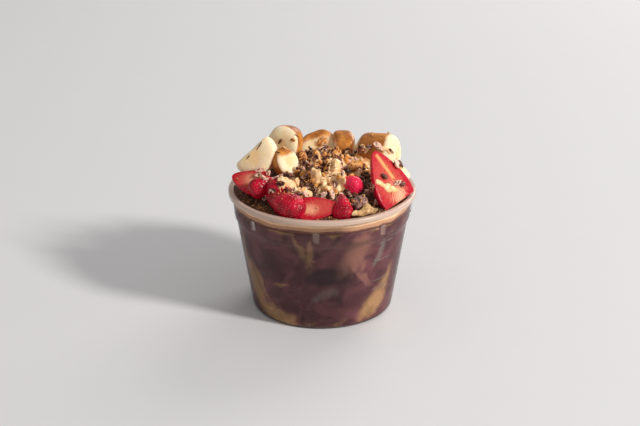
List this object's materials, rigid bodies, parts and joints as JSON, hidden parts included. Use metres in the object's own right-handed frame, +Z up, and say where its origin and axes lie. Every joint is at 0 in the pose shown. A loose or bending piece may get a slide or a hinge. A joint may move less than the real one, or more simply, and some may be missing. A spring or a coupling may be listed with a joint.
{
  "type": "acai bowl",
  "caption": "Acai bowl: a clear round deli cup of marbled acai under granola, banana slices, cut strawberries, cacao nibs and drizzled nut butter.",
  "frame": {"origin": "middle of the cup's flat foot, at the surface it stands on", "axes": "+Z up the cup's axis, -Y the front that shows the cut strawberries, +X to the right seen from the front"},
  "size_m": [0.117, 0.117, 0.1101],
  "materials": {
    "cup_plastic": "clear, slightly milky thin plastic with a thick glossy rim",
    "acai_puree": "frozen puree, purple-brown with tan streaks",
    "toasted_granola": "toasted oats and dark cacao nibs, uneven and dry",
    "banana_flesh": "moist cream flesh, browned golden at the sides",
    "strawberry_flesh": "glossy red skin with seeds, paler wet cut faces",
    "nut_cluster": "rough nut and oat lump",
    "toasted_flake": "thin golden toasted flake"
  },
  "bodies": {
    "root": {"cup": "cup_plastic", "acai": "acai_puree", "granola": "toasted_granola", "banana_1": "banana_flesh", "banana_2": "banana_flesh", "banana_3": "banana_flesh", "banana_4": "banana_flesh", "banana_5": "banana_flesh", "banana_6": "banana_flesh", "banana_7": "banana_flesh", "strawberry_1": "strawberry_flesh", "strawberry_2": "strawberry_flesh", "strawberry_3": "strawberry_flesh", "strawberry_4": "strawberry_flesh", "strawberry_5": "strawberry_flesh", "strawberry_6": "strawberry_flesh", "strawberry_7": "strawberry_flesh", "strawberry_8": "strawberry_flesh", "cluster": "nut_cluster", "flake": "toasted_flake"}
  },
  "joints": []
}
